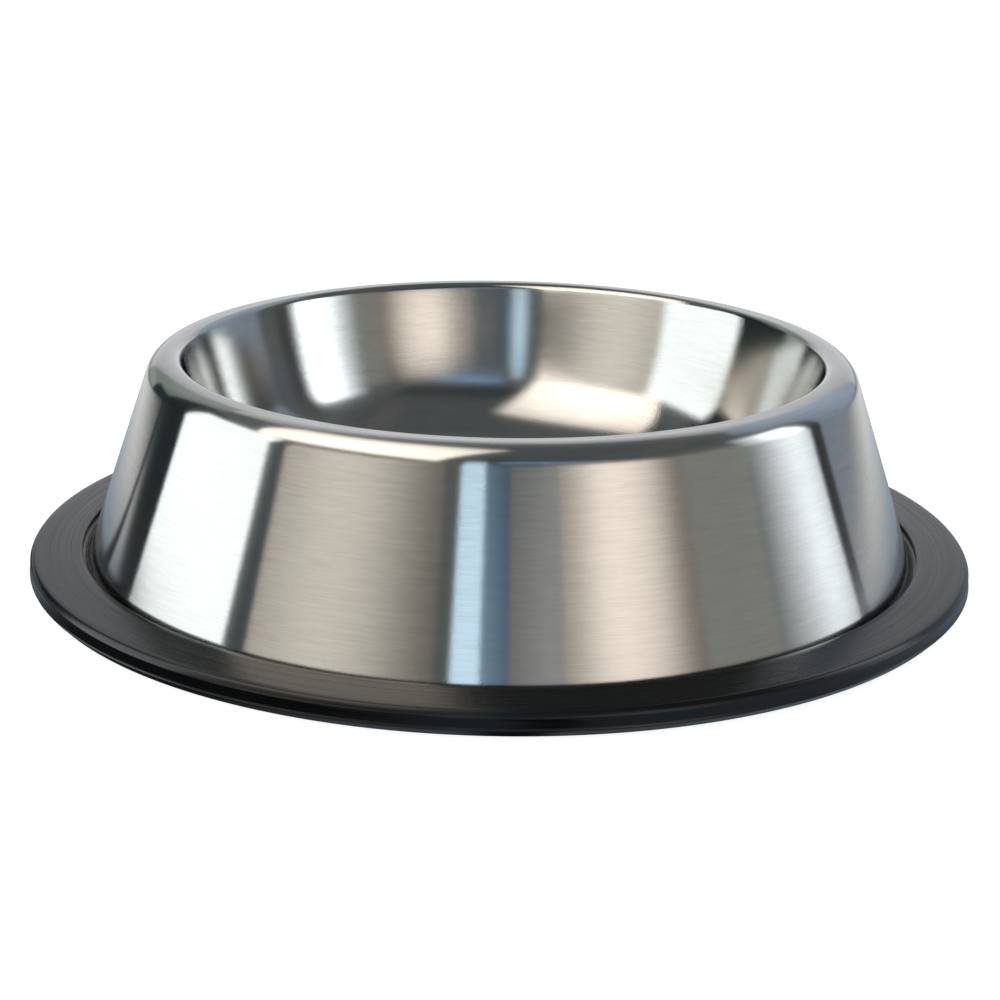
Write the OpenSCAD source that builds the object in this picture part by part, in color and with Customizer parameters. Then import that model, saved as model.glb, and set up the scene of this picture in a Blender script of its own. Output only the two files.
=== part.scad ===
// Non-tip pet bowl: one pressed steel sheet, standing in a rubber ring that grips its flange.
// Every section is drawn as [radius, height] and turned about the Z axis. The ground is z = 0.

/* [Bowl] */
// Height from the ground to the crest of the rim
bowl_h = 50.7; // [46:0.1:64]
// Diameter of the rim's crest, its highest circle
crest_d = 152.4; // [140:0.2:162]
// Thickness of the steel sheet
sheet = 0.6; // [0.4:0.05:1]
// Radius of the bend from the crest out to the skirt, on the face that shows
shoulder_r = 6.4; // [4:0.1:9]
// Radius of the bend from the crest into the basin, on the face that shows
lip_r = 2.2; // [1.6:0.1:4]

/* [Basin] */
// Lean of the basin's wall from the vertical, in degrees
basin_lean = 17; // [8:0.5:24]
// Radius of the bend from the basin's wall to its floor, on the face that shows
basin_bend_r = 28; // [12:0.5:32]
// Space between the ground and the underside of the basin's floor
floor_gap = 8.4; // [4:0.1:14]

/* [Foot of the skirt] */
// Diameter of the circle where the foot's bend meets the flange
foot_d = 195.2; // [186:0.2:204]
// Radius of the bend from the skirt to the flange, on the face that shows
foot_bend_r = 1.2; // [0.8:0.1:4]
// Width of the flat flange
flange_w = 6.7; // [4:0.1:8]
// Height of the flange's underside above the ground
flange_gap = 2.8; // [1.8:0.1:3.4]

/* [Rubber ring] */
// Height of the ring at its inner top edge
ring_h = 6.25; // [5.6:0.05:8]
// Gap from the end of the foot's bend to the ring's inner top edge
lip_play = 0.2; // [0.1:0.05:1]
// Play between the flange's edge and the back of the groove
groove_play = 0.3; // [0.2:0.05:0.8]
// Rubber behind the groove, out to the ring's widest line
ring_back = 5.4; // [4:0.1:9]
// Fall of the ring's top face from its inner edge to its outer edge
face_fall = 0.65; // [0.2:0.05:1]
// Width of the chamfer around the top face
chamfer_w = 0.9; // [0.3:0.05:1.5]
// Height of the chamfer around the top face
chamfer_h = 1.2; // [0.4:0.05:1.5]
// Height of the ring's widest line above the ground
bead_h = 1.7; // [0.8:0.05:2.2]
// Lean of the side wall, as the distance from its top edge out to the widest line
wall_fall = 0.2; // [0:0.05:0.6]
// Bevel under the widest line, measured along the ground
sole_bevel = 1.6; // [0.6:0.1:3]
// Width of the flat sole
sole_w = 11.4; // [8:0.1:13]

/* [Hidden] */
$fn = 240;
steel = "#c9c8c4";
rubber = "#1d1e20";

// How far the ends of straight lengths are tucked into the bends that they touch
tuck = 0.0005;

function polar(centre, radius, angle) = centre + radius * [cos(angle), sin(angle)];

// Rim: both bends meet at the crest, and the skirt is the line that touches the shoulder and the foot's bend
crest_r = crest_d / 2;
shoulder_c = [crest_r, bowl_h - shoulder_r];
lip_c = [crest_r, bowl_h - lip_r];
flange_top = flange_gap + sheet;
foot_c = [foot_d / 2, flange_top + foot_bend_r];
shoulder_to_foot = foot_c - shoulder_c;
skirt_lean = atan2(shoulder_to_foot.y, shoulder_to_foot.x)
    + acos((shoulder_r + foot_bend_r) / norm(shoulder_to_foot));
flange_r = foot_d / 2 + flange_w;

// Basin: from the lip down a straight wall, round the bend and onto the flat floor
wall_top = polar(lip_c, lip_r, 180 - basin_lean);
bend_c_z = floor_gap + sheet + basin_bend_r;
wall_foot_z = bend_c_z - basin_bend_r * sin(basin_lean);
wall_foot = [wall_top.x - (wall_top.y - wall_foot_z) * tan(basin_lean), wall_foot_z];
bend_c = [wall_foot.x - basin_bend_r * cos(basin_lean), bend_c_z];

// Ring
groove_r = flange_r + groove_play;
ring_r = groove_r + ring_back;
lip_edge_r = foot_d / 2 + lip_play;
side_top_r = ring_r - wall_fall;
face_edge_r = side_top_r - chamfer_w;
face_edge_z = ring_h - face_fall;
sole_outer_r = ring_r - sole_bevel;
sole_inner_r = sole_outer_r - sole_w;

// A point just inside a bend's circle, in the direction where a straight length touches it
function touch(centre, radius, angle) = polar(centre, radius - tuck, angle);

// Half of a disc, on the side of its upright diameter that the direction gives: 1 outwards, -1 inwards
module half_disc(centre, radius, direction) {
    intersection() {
        translate(centre) circle(r = radius);
        translate(centre + [direction * radius, 0]) square(2 * radius, center = true);
    }
}

// Section of the bowl as if it were solid, up to a face that lies a given depth under the face that shows
module filled(depth, edge_r, bottom_z) {
    floor_z = floor_gap + sheet - depth;
    flange_z = flange_top - depth;
    difference() {
        union() {
            polygon([
                [0, bottom_z],
                [edge_r, bottom_z],
                [edge_r, flange_z],
                [foot_c.x, flange_z],
                touch(foot_c, foot_bend_r + depth, 180 + skirt_lean),
                touch(shoulder_c, shoulder_r - depth, skirt_lean),
                [crest_r, bowl_h - depth],
                touch(lip_c, lip_r - depth, 180 - basin_lean),
                touch(bend_c, basin_bend_r + depth, -basin_lean),
                [bend_c.x, floor_z],
                [0, floor_z]
            ]);
            half_disc(lip_c, lip_r - depth, -1);
            half_disc(shoulder_c, shoulder_r - depth, 1);
        }
        translate(bend_c) circle(r = basin_bend_r + depth);
        translate(foot_c) circle(r = foot_bend_r + depth);
    }
}

module bowl_section() {
    difference() {
        filled(0, flange_r, flange_gap);
        filled(sheet, flange_r + sheet, 0);
    }
}

module pressed_bowl() {
    color(steel)
        rotate_extrude()
            bowl_section();
}

module rubber_ring() {
    color(rubber)
        rotate_extrude()
            polygon([
                [lip_edge_r, flange_top],
                [lip_edge_r, ring_h],
                [face_edge_r, face_edge_z],
                [side_top_r, face_edge_z - chamfer_h],
                [ring_r, bead_h],
                [sole_outer_r, 0],
                [sole_inner_r, 0],
                [sole_inner_r, flange_gap],
                [groove_r, flange_gap],
                [groove_r, flange_top]
            ]);
}

rubber_ring();
pressed_bowl();
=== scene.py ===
# Non-tip pet bowl: a basin and skirt spun from one steel sheet, standing in a black rubber ring.
# The frame is in metres, +Z up, and the camera looks along +Y. Sizes of the bowl, the ring and their
# finishes are in millimetres, those of the camera and the studio in metres.
import math
import bpy
import bmesh
from mathutils import Matrix, Vector, noise


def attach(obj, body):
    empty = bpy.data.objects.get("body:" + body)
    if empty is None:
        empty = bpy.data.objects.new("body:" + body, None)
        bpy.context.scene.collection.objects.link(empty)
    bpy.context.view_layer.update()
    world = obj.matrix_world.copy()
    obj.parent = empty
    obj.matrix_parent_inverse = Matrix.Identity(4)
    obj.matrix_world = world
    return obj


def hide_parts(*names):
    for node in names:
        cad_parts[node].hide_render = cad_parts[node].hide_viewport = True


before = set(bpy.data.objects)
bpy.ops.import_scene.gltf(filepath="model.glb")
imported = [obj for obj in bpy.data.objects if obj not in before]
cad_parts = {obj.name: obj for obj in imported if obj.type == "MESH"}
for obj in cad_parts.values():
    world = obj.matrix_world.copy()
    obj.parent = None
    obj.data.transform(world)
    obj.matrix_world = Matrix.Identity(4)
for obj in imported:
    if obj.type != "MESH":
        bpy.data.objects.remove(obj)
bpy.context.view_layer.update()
mm = 0.001
pureWhite = (1.0, 1.0, 1.0, 1.0)
print("frame loaded:", sorted(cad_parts))


def hexColour(code):
    channels = [int(code[i:i + 2], 16) / 255 for i in (1, 3, 5)]
    linear = [c / 12.92 if c <= 0.04045 else ((c + 0.055) / 1.055) ** 2.4 for c in channels]
    return (*linear, 1.0)


def addNode(tree, kind, settings=None, links=None):
    node = tree.nodes.new(kind)
    for key, value in (settings or {}).items():
        if isinstance(key, str) and hasattr(node, key):
            setattr(node, key, value)
        else:
            node.inputs[key].default_value = value
    for key, source in (links or {}).items():
        tree.links.new(source, node.inputs[key])
    return node


def newMaterial(name):
    material = bpy.data.materials.new(name)
    material.use_nodes = True
    material.node_tree.nodes.clear()
    return material, material.node_tree


# Camera: 81 mm lens on a 36 mm sensor, half a metre away, turned by one degree; its angles are in radians
camera = {
    "place": (-0.00012, -0.5094, 0.1737),
    "pitchDown": 0.304,
    "roll": 0.0175,
    "lens": 81.0,
    "sensor": 36.0,
    "clip": (0.01, 50),
}


def addCamera():
    data = bpy.data.cameras.new("camera")
    data.lens = camera["lens"]
    data.sensor_width = camera["sensor"]
    data.clip_start, data.clip_end = camera["clip"]
    eye = bpy.data.objects.new("camera", data)
    bpy.context.scene.collection.objects.link(eye)
    pitch, roll = camera["pitchDown"], camera["roll"]
    right = Vector((1, 0, 0))
    up = Vector((0, math.sin(pitch), math.cos(pitch)))
    back = Vector((0, -math.cos(pitch), math.sin(pitch)))
    xAxis = right * math.cos(roll) + up * math.sin(roll)
    yAxis = up * math.cos(roll) - right * math.sin(roll)
    turn = Matrix((xAxis, yAxis, back)).transposed().to_4x4()
    eye.matrix_world = Matrix.Translation(camera["place"]) @ turn
    bpy.context.scene.camera = eye


addCamera()
bpy.context.scene.view_settings.view_transform = "Standard"
print("camera placed")


# Sections are drawn as (radius, height) points and turned about Z
def onCircle(centre, radius, degrees):
    angle = math.radians(degrees)
    return (centre[0] + radius * math.cos(angle), centre[1] + radius * math.sin(angle))


def arc(centre, radius, start, end, steps):
    return [onCircle(centre, radius, start + (end - start) * i / steps) for i in range(steps + 1)]


def straight(start, end, steps):
    # The points between two ends, without the ends
    return [(start[0] + (end[0] - start[0]) * i / steps, start[1] + (end[1] - start[1]) * i / steps)
            for i in range(1, steps)]


def bellied(start, startLean, end, endLean, steps):
    # The points of a wall whose lean from the vertical changes on its way down, as spinning leaves it
    reach = math.dist(start, end)
    leave, arrive = [(-math.sin(math.radians(lean)) * reach, -math.cos(math.radians(lean)) * reach)
                     for lean in (startLean, endLean)]
    points = []
    for i in range(1, steps):
        t = i / steps
        # The shares of the two ends and of their leans, on a cubic curve
        startShare, leaveShare = 2 * t**3 - 3 * t**2 + 1, t**3 - 2 * t**2 + t
        endShare, arriveShare = 3 * t**2 - 2 * t**3, t**3 - t**2
        points.append(tuple(
            startShare * start[k] + leaveShare * leave[k] + endShare * end[k] + arriveShare * arrive[k]
            for k in range(2)))
    return points


def rounded(corner, offsets):
    # The points that round an edge, each given as its way outwards and upwards from the corner
    return [(corner[0] + outwards, corner[1] + upwards) for outwards, upwards in offsets]


def lathe(name, section, turns, shift=None, closed=False):
    # Turns a section about Z; alongSheet keeps each point's way along the section, in millimetres
    along = [0.0]
    for a, b in zip(section, section[1:]):
        along.append(along[-1] + math.dist(a, b))
    vertices, ways, faces, rings = [], [], [], []
    for (radius, height), way in zip(section, along):
        if radius < 1e-6:  # a point on the axis closes the sheet
            rings.append([len(vertices)])
            vertices.append(Vector((0, 0, height * mm)))
            ways.append(way)
            continue
        row = []
        for i in range(turns):
            angle = 2 * math.pi * i / turns
            point = Vector((radius * math.cos(angle), radius * math.sin(angle), height))
            if shift:
                point = shift(point, angle)
            row.append(len(vertices))
            vertices.append(point * mm)
            ways.append(way)
        rings.append(row)
    pairs = list(zip(rings, rings[1:]))
    if closed:
        pairs.append((rings[-1], rings[0]))
    for low, high in pairs:
        for i in range(turns):
            j = (i + 1) % turns
            if len(low) == 1:
                faces.append((low[0], high[j], high[i]))
            elif len(high) == 1:
                faces.append((low[i], low[j], high[0]))
            else:
                faces.append((low[i], low[j], high[j], high[i]))
    mesh = bpy.data.meshes.new(name)
    mesh.from_pydata(vertices, [], faces)
    attribute = mesh.attributes.new("alongSheet", "FLOAT", "POINT")
    attribute.data.foreach_set("value", ways)
    work = bmesh.new()
    work.from_mesh(mesh)
    bmesh.ops.recalc_face_normals(work, faces=work.faces)
    work.to_mesh(mesh)
    work.free()
    mesh.polygons.foreach_set("use_smooth", [True] * len(mesh.polygons))
    piece = bpy.data.objects.new(name, mesh)
    bpy.context.scene.collection.objects.link(piece)
    return piece


# Bowl: the sizes of the pressed sheet, and how far it is from a perfect spinning
bowl = {
    "height": 50.7, "crestRadius": 76.2, "sheet": 0.6,
    "shoulderRadius": 6.4, "lipRadius": 2.2,
    "basinLean": 17.0, "bendRadius": 28.0, "floorHeight": 9.0,
    "leanAtTop": 16.6, "leanAtFoot": 21.5,  # of the bellied wall, around the basin's lean
    "footRadius": 97.6, "footBend": 1.2, "flangeRadius": 104.3, "flangeTop": 3.4,
    "edgeRound": 0.14,
    "wave": 0.012, "waveLength": 26.0,
    "waveStretch": 0.35,  # the waves change more slowly with height
    "waveStart": 8.0, "waveGrow": 10.0,  # the height where they begin, and over which they grow
    "waveEnd": 6.0,  # they fade again over this height, up to the crest
    "turns": 288,
    "steps": {"flange": 3, "foot": 10, "skirt": 36, "skirtInside": 30, "shoulder": 26, "lip": 16,
              "wall": 24, "bend": 36, "floor": 12, "edge": 3},
}


def bowlSection():
    b, steps = bowl, bowl["steps"]
    shoulder = (b["crestRadius"], b["height"] - b["shoulderRadius"])
    lip = (b["crestRadius"], b["height"] - b["lipRadius"])
    foot = (b["footRadius"], b["flangeTop"] + b["footBend"])
    dx, dz = foot[0] - shoulder[0], foot[1] - shoulder[1]
    reach = (b["shoulderRadius"] + b["footBend"]) / math.hypot(dx, dz)
    skirtLean = math.degrees(math.atan2(dz, dx) + math.acos(reach))
    b["skirtLean"] = skirtLean  # for the print line
    lean = b["basinLean"]
    wallTop = onCircle(lip, b["lipRadius"], 180 - lean)
    bendZ = b["floorHeight"] + b["bendRadius"]
    wallFootZ = bendZ - b["bendRadius"] * math.sin(math.radians(lean))
    wallFootR = wallTop[0] - (wallTop[1] - wallFootZ) * math.tan(math.radians(lean))
    bend = (wallFootR - b["bendRadius"] * math.cos(math.radians(lean)), bendZ)

    def face(depth, skirtSteps):
        # One face of the sheet, from the flange over the rim to the middle of the basin's floor
        footArc = arc(foot, b["footBend"] + depth, 270, 180 + skirtLean, steps["foot"])
        shoulderArc = arc(shoulder, b["shoulderRadius"] - depth, skirtLean, 90, steps["shoulder"])
        lipArc = arc(lip, b["lipRadius"] - depth, 90, 180 - b["leanAtTop"], steps["lip"])
        bendArc = arc(bend, b["bendRadius"] + depth, -b["leanAtFoot"], -90, steps["bend"])
        floorEnd = (0.0, b["floorHeight"] - depth)
        flangeEnd = (b["flangeRadius"] - b["edgeRound"], b["flangeTop"] - depth)
        return [
            flangeEnd,
            *straight(flangeEnd, footArc[0], steps["flange"]),
            *footArc,
            *straight(footArc[-1], shoulderArc[0], skirtSteps),
            *shoulderArc,
            *lipArc[1:],
            *bellied(lipArc[-1], b["leanAtTop"], bendArc[0], b["leanAtFoot"], steps["wall"]),
            *bendArc,
            *straight(bendArc[-1], floorEnd, steps["floor"]),
            floorEnd,
        ]

    edge = (b["flangeRadius"] - b["edgeRound"], b["flangeTop"] - b["edgeRound"])
    lowEdge = (edge[0], b["flangeTop"] - b["sheet"] + b["edgeRound"])
    rim = [*arc(lowEdge, b["edgeRound"], -90, 0, steps["edge"]),
           *arc(edge, b["edgeRound"], 0, 90, steps["edge"])]
    outside = face(0, steps["skirt"])
    inside = face(b["sheet"], steps["skirtInside"])
    return list(reversed(inside))[:-1] + rim + outside[1:]


def sheetWave(point, angle):
    # A spun sheet is never quite true: long shallow waves, none at the flange or over the crest
    b = bowl
    fade = (min(1.0, max(0.0, (point.z - b["waveStart"]) / b["waveGrow"]))
            * min(1.0, max(0.0, (b["height"] - point.z) / b["waveEnd"])))
    spot = point / b["waveLength"]
    push = b["wave"] * fade * noise.noise(Vector((spot.x, spot.y, spot.z * b["waveStretch"])))
    return Vector((point.x + push * math.cos(angle), point.y + push * math.sin(angle), point.z))


steelBowl = lathe("spun_bowl", bowlSection(), bowl["turns"], shift=sheetWave)
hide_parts("pressed_bowl")
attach(steelBowl, "bowl")
print("bowl turned:", len(steelBowl.data.vertices), "points, skirt leans", round(bowl["skirtLean"], 2))


# Ring: moulded rubber, with a groove that grips the flange. The roundings are offsets from their corners
ring = {
    "height": 6.25, "lipRadius": 97.8, "faceEdge": (108.9, 5.6), "sideTop": (109.8, 4.4),
    "bead": (110.0, 1.7), "soleOuter": 108.4, "soleInner": 97.0,
    "flangeTop": 3.4, "flangeUnder": 2.8, "grooveRadius": 104.6,
    "chamferLeans": (50, 22),
    "lipUnderRound": ((0.25, 0.0), (0.0, 0.2)),
    "lipTopRound": ((0.0, -0.35), (0.08, -0.12), (0.3, -0.02)),
    "faceRound": ((-0.22, 0.01), (0.05, -0.08)),
    "sideRound": ((0.01, -0.1), (0.03, -0.35)),
    "sideEnd": (-0.14, 0.25),
    "beadRound": ((-0.14, 0.22), (0.0, 0.08), (0.0, -0.06), (-0.12, -0.2)),  # it stands 0.14 proud
    "soleOuterRound": ((0.15, 0.12), (-0.1, 0.0)),
    "soleInnerRound": ((0.2, 0.0), (0.0, 0.2)),
    "grooveRound": ((0.0, -0.2), (0.2, 0.0)),
    "turns": 360,
    "steps": {"face": 8, "chamfer": 8, "side": 6, "bevel": 4, "sole": 6},
}


def ringSection():
    r, steps = ring, ring["steps"]
    lipTop = rounded((r["lipRadius"], r["height"]), r["lipTopRound"])
    face = rounded(r["faceEdge"], r["faceRound"])
    side = rounded(r["sideTop"], r["sideRound"])
    sideEnd = rounded(r["bead"], [r["sideEnd"]])[0]
    bead = rounded(r["bead"], r["beadRound"])
    soleOuter, soleInner = (r["soleOuter"], 0.0), (r["soleInner"], 0.0)
    topLean, footLean = r["chamferLeans"]
    return [
        (r["grooveRadius"], r["flangeTop"]),
        *rounded((r["lipRadius"], r["flangeTop"]), r["lipUnderRound"]),
        *lipTop,
        *straight(lipTop[-1], r["faceEdge"], steps["face"]),
        *face,
        *bellied(face[-1], -topLean, side[0], -footLean, steps["chamfer"]),
        *side,
        *straight(r["sideTop"], sideEnd, steps["side"]),
        *bead,
        *straight(bead[-1], soleOuter, steps["bevel"]),
        *rounded(soleOuter, r["soleOuterRound"]),
        *straight(soleOuter, soleInner, steps["sole"]),
        *rounded(soleInner, r["soleInnerRound"]),
        *rounded((r["soleInner"], r["flangeUnder"]), r["grooveRound"]),
        (r["grooveRadius"], r["flangeUnder"]),
    ]


rubberRing = lathe("moulded_ring", ringSection(), ring["turns"], closed=True)
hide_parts("rubber_ring")
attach(rubberRing, "ring")
print("ring turned:", len(rubberRing.data.vertices), "points")

noiseLow, noiseHigh = 0.3, 0.7  # nearly all of a noise lies between these
skirtRadius = 90.0  # low on the skirt, where lengths around the axis are true


def ringSpot(tree, around, way, spacing, length):
    # A place for a noise, drawn out to a length around the axis and a spacing along the sheet, in mm
    turned = addNode(tree, "ShaderNodeVectorMath", {"operation": "SCALE", "Scale": skirtRadius / length},
                     {0: around})
    rows = addNode(tree, "ShaderNodeMath", {"operation": "MULTIPLY", 1: 1 / spacing}, {0: way})
    lift = addNode(tree, "ShaderNodeCombineXYZ", links={"Z": rows.outputs[0]})
    spot = addNode(tree, "ShaderNodeVectorMath", {"operation": "ADD"},
                   {0: turned.outputs[0], 1: lift.outputs[0]})
    return spot.outputs[0]


def ringPlaces(tree):
    # The place in space, the direction around the axis, and the way along the section
    place = addNode(tree, "ShaderNodeTexCoord").outputs["Object"]
    parts = addNode(tree, "ShaderNodeSeparateXYZ", links={0: place})
    flat = addNode(tree, "ShaderNodeCombineXYZ", links={"X": parts.outputs["X"], "Y": parts.outputs["Y"]})
    around = addNode(tree, "ShaderNodeVectorMath", {"operation": "NORMALIZE"}, {0: flat.outputs[0]})
    way = addNode(tree, "ShaderNodeAttribute", {"attribute_name": "alongSheet"})
    return place, around.outputs[0], way.outputs["Fac"]


# Stainless steel, brushed as it turned: reflections stay sharp along the fine rings and smear across them,
# and the grain of the brushing shifts them a little, so that upright edges look frayed and dark bands
# speckled. The basin is only buffed: its grain is stronger, and it smears what it mirrors less
steel = {
    "colour": "#c9c8c4",
    "roughness": 0.13, "basinRoughness": 0.09,
    "anisotropy": 1.0, "smearTurn": 0.25,  # a quarter turn sets the smear across the rings
    "streakSpacing": 0.24,  # the real rings are about 0.05 mm apart, too fine to show
    "streakLength": 10.0, "streakTint": 0.055,
    "mottleSpacing": 1.6, "mottleLength": 7.0, "mottleTint": 0.03,
    "frayLength": 1.6, "frayDepth": 0.006,
    "grainSize": 0.3, "grainDepth": 0.01,  # coarser than real marks of grit, which are too fine to show
    "skirtGrain": 0.3,  # the grain's share outside the basin
    "basinEdge": 2.0,  # how far inside the crest the basin's finish begins
}


def steelMaterial():
    s = steel
    material, tree = newMaterial("brushedStainlessSteel")
    place, around, way = ringPlaces(tree)
    streaks = addNode(tree, "ShaderNodeTexNoise", {"Scale": 1.0, "Detail": 4.0, "Roughness": 0.65},
                      {"Vector": ringSpot(tree, around, way, s["streakSpacing"], s["streakLength"])})
    mottle = addNode(tree, "ShaderNodeTexNoise", {"Scale": 1.0, "Detail": 3.0, "Roughness": 0.6},
                     {"Vector": ringSpot(tree, around, way, s["mottleSpacing"], s["mottleLength"])})
    spread = s["mottleTint"] + s["streakTint"]
    worn = addNode(tree, "ShaderNodeMix", {"data_type": "FLOAT", 0: s["mottleTint"] / spread},
                   {2: streaks.outputs["Fac"], 3: mottle.outputs["Fac"]})
    dark = [c * (1 - spread) for c in hexColour(s["colour"])[:3]]
    light = [min(1, c * (1 + spread)) for c in hexColour(s["colour"])[:3]]
    tint = addNode(tree, "ShaderNodeMapRange", {
        "data_type": "FLOAT_VECTOR", 7: [noiseLow] * 3, 8: [noiseHigh] * 3, 9: dark, 10: light,
    }, {6: worn.outputs[0]})
    fray = addNode(tree, "ShaderNodeTexNoise", {"Scale": 1.0, "Detail": 2.0, "Roughness": 0.6},
                   {"Vector": ringSpot(tree, around, way, s["streakSpacing"], s["frayLength"])})
    grain = addNode(tree, "ShaderNodeTexNoise", {
        "Scale": 1 / (s["grainSize"] * mm), "Detail": 2.0, "Roughness": 0.6,
    }, {"Vector": place})
    # From the basin to the skirt the grain fades, and the smear grows
    outwards = addNode(tree, "ShaderNodeVectorMath", {"operation": "DOT_PRODUCT"}, {0: place, 1: around})
    radius = outwards.outputs["Value"]
    basinEdge, crest = (bowl["crestRadius"] - s["basinEdge"]) * mm, bowl["crestRadius"] * mm
    grained = addNode(tree, "ShaderNodeMapRange", {
        "From Min": basinEdge, "From Max": crest, "To Min": 1.0, "To Max": s["skirtGrain"],
    }, {"Value": radius})
    rough = addNode(tree, "ShaderNodeMapRange", {
        "From Min": basinEdge, "From Max": crest, "To Min": s["basinRoughness"], "To Max": s["roughness"],
    }, {"Value": radius})
    grainBump = addNode(tree, "ShaderNodeBump", {"Distance": s["grainDepth"] * mm},
                        {"Strength": grained.outputs[0], "Height": grain.outputs["Fac"]})
    bump = addNode(tree, "ShaderNodeBump", {"Strength": 1.0, "Distance": s["frayDepth"] * mm},
                   {"Height": fray.outputs["Fac"], "Normal": grainBump.outputs["Normal"]})
    tangent = addNode(tree, "ShaderNodeTangent", {"direction_type": "RADIAL", "axis": "Z"})
    shader = addNode(tree, "ShaderNodeBsdfPrincipled", {
        "Metallic": 1.0, "Anisotropic": s["anisotropy"], "Anisotropic Rotation": s["smearTurn"],
    }, {
        "Base Color": tint.outputs[1], "Roughness": rough.outputs[0],
        "Normal": bump.outputs["Normal"], "Tangent": tangent.outputs[0],
    })
    addNode(tree, "ShaderNodeOutputMaterial", links={"Surface": shader.outputs[0]})
    return material


steelBowl.data.materials.append(steelMaterial())


# Moulded rubber: black, with a dull sheen that the mould's turned face drew out into fine rings, and a few
# scuffs
rubber = {
    "colour": "#08090a", "roughness": 0.28, "roughnessSpread": 0.1,
    "ringSpacing": 0.5, "grainSize": 0.5,  # coarser than a mould's real marks, which are too fine to show
    "ringLength": 60.0, "ringDepth": 0.004, "grainDepth": 0.002,
    "scuffColour": "#4c4e50", "scuffSpacing": 0.6, "scuffLength": 5.0,
    "scuffRange": (0.66, 0.78), "scuffShare": 0.35,  # only the noise's highest spots, and not fully
}


def rubberMaterial():
    r = rubber
    material, tree = newMaterial("mouldedRubber")
    place, around, way = ringPlaces(tree)
    rings = addNode(tree, "ShaderNodeTexNoise", {"Scale": 1.0, "Detail": 3.0, "Roughness": 0.6},
                    {"Vector": ringSpot(tree, around, way, r["ringSpacing"], r["ringLength"])}).outputs["Fac"]
    grain = addNode(tree, "ShaderNodeTexNoise", {"Scale": 1 / (r["grainSize"] * mm), "Detail": 2.0},
                    {"Vector": place})
    scuffs = addNode(tree, "ShaderNodeTexNoise", {"Scale": 1.0, "Detail": 2.0, "Roughness": 0.7},
                     {"Vector": ringSpot(tree, around, way, r["scuffSpacing"], r["scuffLength"])})
    scuffed = addNode(tree, "ShaderNodeMapRange", {
        "From Min": r["scuffRange"][0], "From Max": r["scuffRange"][1], "To Max": r["scuffShare"],
    }, {"Value": scuffs.outputs["Fac"]})
    colour = addNode(tree, "ShaderNodeMix", {
        "data_type": "RGBA", 6: hexColour(r["colour"]), 7: hexColour(r["scuffColour"]),
    }, {0: scuffed.outputs[0]})
    dull = addNode(tree, "ShaderNodeMapRange", {
        "From Min": noiseLow, "From Max": noiseHigh,
        "To Min": r["roughness"] - r["roughnessSpread"], "To Max": r["roughness"] + r["roughnessSpread"],
    }, {"Value": rings})
    ringBump = addNode(tree, "ShaderNodeBump", {"Strength": 1.0, "Distance": r["ringDepth"] * mm},
                       {"Height": rings})
    bump = addNode(tree, "ShaderNodeBump", {"Strength": 1.0, "Distance": r["grainDepth"] * mm},
                   {"Height": grain.outputs["Fac"], "Normal": ringBump.outputs["Normal"]})
    shader = addNode(tree, "ShaderNodeBsdfPrincipled", links={
        "Base Color": colour.outputs[2], "Roughness": dull.outputs[0], "Normal": bump.outputs["Normal"],
    })
    addNode(tree, "ShaderNodeOutputMaterial", links={"Surface": shader.outputs[0]})
    return material


rubberRing.data.materials.append(rubberMaterial())
print("materials made")


def upright(near, far, low, high):
    # The four corners of a box that stands upright over two points of the floor
    return [(*near, low), (*far, low), (*far, high), (*near, high)]


def towards(azimuth, distance):
    # A point of the floor; azimuth 0 is towards the camera and grows to the right, in degrees
    angle = math.radians(azimuth)
    return (distance * math.sin(angle), -distance * math.cos(angle))


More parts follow.
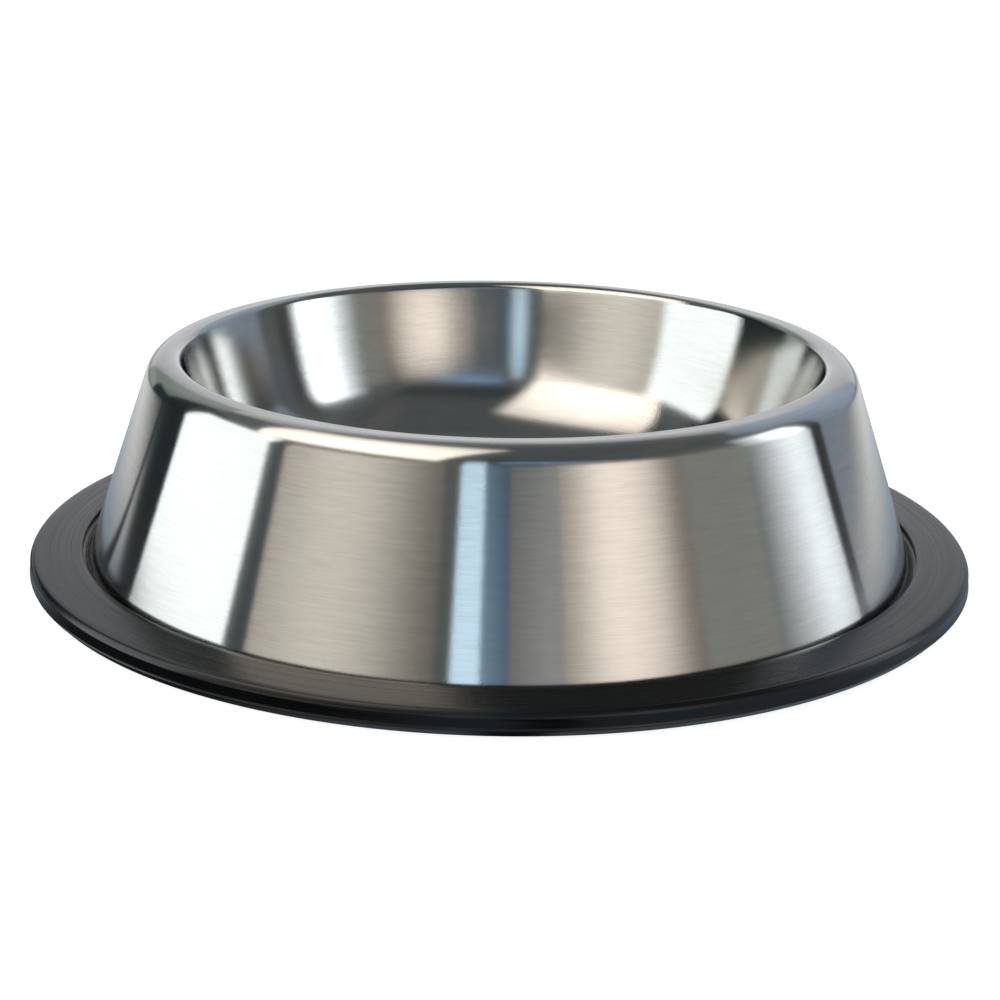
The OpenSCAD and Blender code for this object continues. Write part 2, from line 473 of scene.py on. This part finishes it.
# Studio: the steel mirrors a room of soft boxes, dark flags between them, and walls further off. Each is a
# flat cloth between four corners: low near, low far, high far, high near. "across" is its brightness at even
# steps from the near side to the far side, and "upward" from low to high
softBoxes = {
    "leftBox": {
        "corners": upright((-0.462, -0.170), (-0.485, 0.146), -0.03, 0.30),
        "colour": "#f4fcff", "level": 1.95,
        "upward": (1.8, 1.6, 1.1, 0.9, 0.88, 1.1, 3.0),
    },
    "leftFlag": {
        "corners": upright((-0.530, 0.120), (-0.445, 0.300), 0.0, 0.42),
        "colour": "#7d949e", "level": 0.1,
    },
    "leftFlagTail": {
        "corners": upright((-0.445, 0.300), (-0.385, 0.385), 0.03, 0.16),
        "colour": "#7d949e", "level": 0.1,
    },
    "slateGap": {
        "corners": upright(towards(-78, 2.4), towards(-66, 2.4), -0.3, 1.2),
        "colour": "#b4cad2", "level": 0.14,
    },
    "rightBox": {
        "corners": [(0.222, -0.108, 0.0), (0.309, 0.038, 0.0),
                    (0.309, 0.038, 0.21), (0.240, -0.078, 0.21)],
        "colour": "#f0f8ff", "level": 4.2,
        "across": (0.1, 0.26, 0.52, 0.8, 0.76, 0.5),
        "upward": (0.5, 0.52, 0.52, 0.44, 0.7, 1.6, 1.6, 1.25, 0.75),
    },
    "rightFlag": {
        "corners": [(0.316, 0.046, 0.0), (0.331, 0.076, 0.0),
                    (0.345, 0.112, 0.3), (0.316, 0.046, 0.3)],
        "colour": "#8c8e90", "level": 0.42,
        "upward": (0.3, 0.4, 1, 1, 1),
    },
    "warmBox": {
        "corners": upright((0.150, -0.680), (0.560, -0.420), 0.0, 0.38),
        "colour": "#fff3e8", "level": 1.6,
        "across": (0.28, 0.36, 0.6, 0.95, 1, 0.88, 0.66, 0.3, 0.16),
        "upward": (0.5, 0.7, 0.95, 1, 1.1, 1.0, 0.3),
    },
    "warmWall": {
        "corners": upright((-2.01, -0.80), (-0.62, -2.10), -0.27, 1.03),
        "colour": "#fff9ee", "level": 1.1,
        "across": (0.62, 0.82, 1, 0.82, 0.4, 0.16),
        "upward": (0.9, 0.9, 0.95, 1),
    },
    "blueStripe": {
        "corners": [(-0.060, -0.315, -0.01), (-0.0222, -0.315, -0.01),
                    (-0.0222, -0.315, 0.24), (-0.056, -0.315, 0.24)],
        "colour": "#cdeaff", "level": 1.6,
        "upward": (1, 1, 0.6),
    },
    "bluePanel": {
        "corners": upright((-0.0222, -0.325), (0.014, -0.325), 0, 0.19),
        "colour": "#b8dcff", "level": 0.56,
        "across": (1, 0.9, 0.7, 0.5),
        "upward": (1, 1, 0.3),
    },
    "frontGrey": {
        "corners": upright((0.005, -0.428), (0.124, -0.434), 0, 0.2),
        "colour": "#f8fbfb", "level": 0.46,
        "across": (0.55, 0.66, 0.76, 0.87, 0.98, 1.12, 1.45),
        "upward": (1, 1, 0.8),
    },
    "blueBar": {
        "corners": [(-0.005, -0.40, 0.296), (0.265, -0.40, 0.300),
                    (0.265, -0.40, 0.332), (-0.005, -0.40, 0.328)],
        "colour": "#9ecaff", "level": 1.5,
        "across": (0.6, 1, 0.8, 0.3),
    },
    "rightGrey": {
        "corners": upright((0.88, -0.86), (1.29, 0.12), 0, 0.61),
        "colour": "#fdfff8", "level": 0.32,
        "across": (1, 0.95, 1),
    },
    "farRight": {
        "corners": upright((1.25, 0.41), (0.65, 1.09), -0.04, 1.54),
        "colour": "#d0e2fa", "level": 0.7,
        "across": (0.65, 0.85, 1.15),
        "upward": (0.7, 1, 1, 0.9),
    },
    "backWall": {
        "corners": upright((0.75, 1.29), (-0.80, 1.26), -0.03, 1.22),
        "colour": "#f6f9ff", "level": 1.2,
        "across": (0.65, 1, 1, 0.5),
        "upward": (0.9, 0.6, 0.75, 1),
    },
    "backLeft": {
        "corners": upright((-1.09, 0.90), (-0.66, 1.23), -0.04, 1.19),
        "colour": "#f0fffa", "level": 0.5,
        "across": (0.6, 0.9, 0.7),
        "upward": (1.6, 0.6, 0.9, 1, 1.3),
    },
    "overheadBox": {
        "corners": [(-0.090, -0.275, 0.196), (-0.372, -0.072, 0.232),
                    (-0.257, 0.107, 0.461), (0.015, -0.098, 0.401)],
        "colour": "#fff6ec", "level": 2.6,
        "across": (0.8, 0.95, 1, 0.92, 0.8),
        "upward": (0.8, 1, 0.8, 0.74, 0.4),
    },
    "highBack": {
        "corners": [(1.1, 1.25, 1.2), (-1.1, 1.25, 1.2), (-0.9, 0.75, 1.5), (0.9, 0.75, 1.5)],
        "colour": "#f6f8ff", "level": 0.9,
        "across": (0.7, 1, 1, 0.8),
        "upward": (1, 0.8, 0.5),
    },
    "darkTop": {
        "corners": [(-2.4, -2.6, 2.2), (2.4, -2.6, 2.2), (2.4, 0.3, 2.2), (-2.4, 0.3, 2.2)],
        "colour": "#e6f2f8", "level": 0.13,
        "upward": (0.4, 0.5, 1.2, 3.0, 3.4),
    },
    "highRight": {
        "corners": upright((1.38, -0.84), (0.82, 1.37), 1.57, 3.42),
        "colour": "#ffffff", "level": 0.13,
    },
}


def softBox(name, corners, colour, level, across=(1,), upward=(1,)):
    mesh = bpy.data.meshes.new(name)
    mesh.from_pydata(corners, [], [(0, 1, 2, 3)])
    layer = mesh.uv_layers.new(name="across")
    for loop, uv in zip(layer.data, [(0, 0), (1, 0), (1, 1), (0, 1)]):
        loop.uv = uv
    box = bpy.data.objects.new(name, mesh)
    bpy.context.scene.collection.objects.link(box)
    box.visible_camera = False
    material, tree = newMaterial(name + "Cloth")
    uv = addNode(tree, "ShaderNodeUVMap", {"uv_map": "across"})
    parts = addNode(tree, "ShaderNodeSeparateXYZ", links={0: uv.outputs[0]})
    light = addNode(tree, "ShaderNodeEmission", {"Color": hexColour(colour), "Strength": level})
    glow = None
    for axis, steps in (("X", across), ("Y", upward)):
        if len(steps) < 2:
            continue
        ramp = addNode(tree, "ShaderNodeValToRGB", links={0: parts.outputs[axis]})
        ramp.color_ramp.interpolation = "B_SPLINE"
        stops = ramp.color_ramp.elements
        while len(stops) < len(steps):
            stops.new(0.5)
        for i, share in enumerate(steps):
            stops[i].position = i / (len(steps) - 1)
            stops[i].color = (share, share, share, 1)
        if glow is None:
            glow = ramp.outputs[0]
        else:
            both = addNode(tree, "ShaderNodeMath", {"operation": "MULTIPLY"}, {0: glow, 1: ramp.outputs[0]})
            glow = both.outputs[0]
    if glow:
        strength = addNode(tree, "ShaderNodeMath", {"operation": "MULTIPLY", 1: level}, {0: glow})
        tree.links.new(strength.outputs[0], light.inputs["Strength"])
    addNode(tree, "ShaderNodeOutputMaterial", links={"Surface": light.outputs[0]})
    mesh.materials.append(material)


# Floor: a disc of matt white paper. To the eye it is white far off, and a little under white where the
# bowl's shadow falls. The steel sees only a painted glow on it in place of the lit paper. This painted light
# is bright near the bowl and behind it, up to a dark line and a dark floor on the left, with painted shade of
# the bowl close to the ring
floorPaper = {
    "radius": 4.0, "corners": 64, "drop": 0.00005,  # just under the ring's sole
    "colour": "#b4b4b4", "roughness": 0.9,
    "glow": 0.9, "glowNear": 0.3, "glowFar": 1.2,
    "paintedGlow": 1.05, "paintedGlowNear": 0.15, "paintedGlowFar": 0.95,
    "paintedShadeColour": "#8c99a6", "paintedShadeNear": 0.14, "paintedShadeFar": 0.32,  # painted shade of the bowl near the ring
    "edgeWay": (0.9, 1.0, 0.0),  # across the dark line
    "edgeFrom": -0.25, "edgeTo": 0.15,  # where its steps begin and end
    "edgeSteps": ((0.26, 0.07), (0.30, 0.8), (0.335, 0.85), (0.35, 0.1), (0.37, 0.1), (0.385, 0.85),
                  (0.5, 1.0)),
}


def addFloor():
    f = floorPaper
    mesh = bpy.data.meshes.new("floor")
    corners = []
    for i in range(f["corners"]):
        angle = 2 * math.pi * i / f["corners"]
        corners.append((f["radius"] * math.cos(angle), f["radius"] * math.sin(angle), -f["drop"]))
    mesh.from_pydata(corners, [], [tuple(range(f["corners"]))])
    floor = bpy.data.objects.new("floor", mesh)
    bpy.context.scene.collection.objects.link(floor)
    material, tree = newMaterial("paperSweep")
    seen = addNode(tree, "ShaderNodeLightPath")
    place = addNode(tree, "ShaderNodeTexCoord").outputs["Object"]
    away = addNode(tree, "ShaderNodeVectorMath", {"operation": "LENGTH"}, {0: place}).outputs["Value"]
    far = addNode(tree, "ShaderNodeMapRange", {
        "From Min": f["glowNear"], "From Max": f["glowFar"], "To Min": f["glow"],
    }, {"Value": away})
    glow = addNode(tree, "ShaderNodeMath", {"operation": "MULTIPLY"},
                   {0: seen.outputs["Is Camera Ray"], 1: far.outputs[0]})
    paper = addNode(tree, "ShaderNodeBsdfPrincipled", {
        "Base Color": hexColour(f["colour"]), "Roughness": f["roughness"],
        "Specular IOR Level": 0.0, "Emission Color": pureWhite,
    }, {"Emission Strength": glow.outputs[0]})
    # Painted light for the steel: the floor glows brighter near the bowl, as if lit there, and fades farther
    # off
    near = addNode(tree, "ShaderNodeMapRange", {
        "From Min": f["paintedGlowNear"], "From Max": f["paintedGlowFar"], "To Min": f["paintedGlow"], "To Max": 0.0,
    }, {"Value": away})
    behind = addNode(tree, "ShaderNodeVectorMath", {"operation": "DOT_PRODUCT", 1: f["edgeWay"]}, {0: place})
    sweep = addNode(tree, "ShaderNodeMapRange", {"From Min": f["edgeFrom"], "From Max": f["edgeTo"]},
                    {"Value": behind.outputs["Value"]})
    edge = addNode(tree, "ShaderNodeValToRGB", links={0: sweep.outputs[0]})
    stops = edge.color_ramp.elements
    while len(stops) < len(f["edgeSteps"]):
        stops.new(0.5)
    for stop, (position, share) in zip(stops, f["edgeSteps"]):
        stop.position = position
        stop.color = (share, share, share, 1)
    both = addNode(tree, "ShaderNodeMath", {"operation": "MULTIPLY"},
                   {0: near.outputs[0], 1: edge.outputs[0]})
    # Painted shade of the bowl in the steel's floor glow: darker and bluer close to the ring
    shade = addNode(tree, "ShaderNodeMapRange", {"From Min": f["paintedShadeNear"], "From Max": f["paintedShadeFar"]},
                    {"Value": away})
    paintedShadeTone = addNode(tree, "ShaderNodeMix", {"data_type": "RGBA", 6: hexColour(f["paintedShadeColour"]), 7: pureWhite},
                   {0: shade.outputs[0]})
    # The painted glow that glossy rays see in place of the lit paper
    paintedGlow = addNode(tree, "ShaderNodeEmission", links={
        "Color": paintedShadeTone.outputs[2], "Strength": both.outputs[0]})
    either = addNode(tree, "ShaderNodeMixShader", links={
        0: seen.outputs["Is Glossy Ray"], 1: paper.outputs[0], 2: paintedGlow.outputs[0]})
    addNode(tree, "ShaderNodeOutputMaterial", links={"Surface": either.outputs[0]})
    mesh.materials.append(material)


# Room: white to the eye, a dim cool grey to the bowl
room = {"colour": "#c8d2d4", "level": 0.22}


def addWorld():
    world = bpy.data.worlds.new("studio")
    bpy.context.scene.world = world
    world.use_nodes = True
    tree = world.node_tree
    tree.nodes.clear()
    seen = addNode(tree, "ShaderNodeLightPath")
    dim = addNode(tree, "ShaderNodeBackground", {
        "Color": hexColour(room["colour"]), "Strength": room["level"]})
    white = addNode(tree, "ShaderNodeBackground", {"Color": pureWhite, "Strength": 1.0})
    mix = addNode(tree, "ShaderNodeMixShader", links={
        0: seen.outputs["Is Camera Ray"], 1: dim.outputs[0], 2: white.outputs[0]})
    addNode(tree, "ShaderNodeOutputWorld", links={"Surface": mix.outputs[0]})


addFloor()
addWorld()
for name, settings in softBoxes.items():
    softBox(name, **settings)
print("studio lit:", len(softBoxes), "soft boxes")
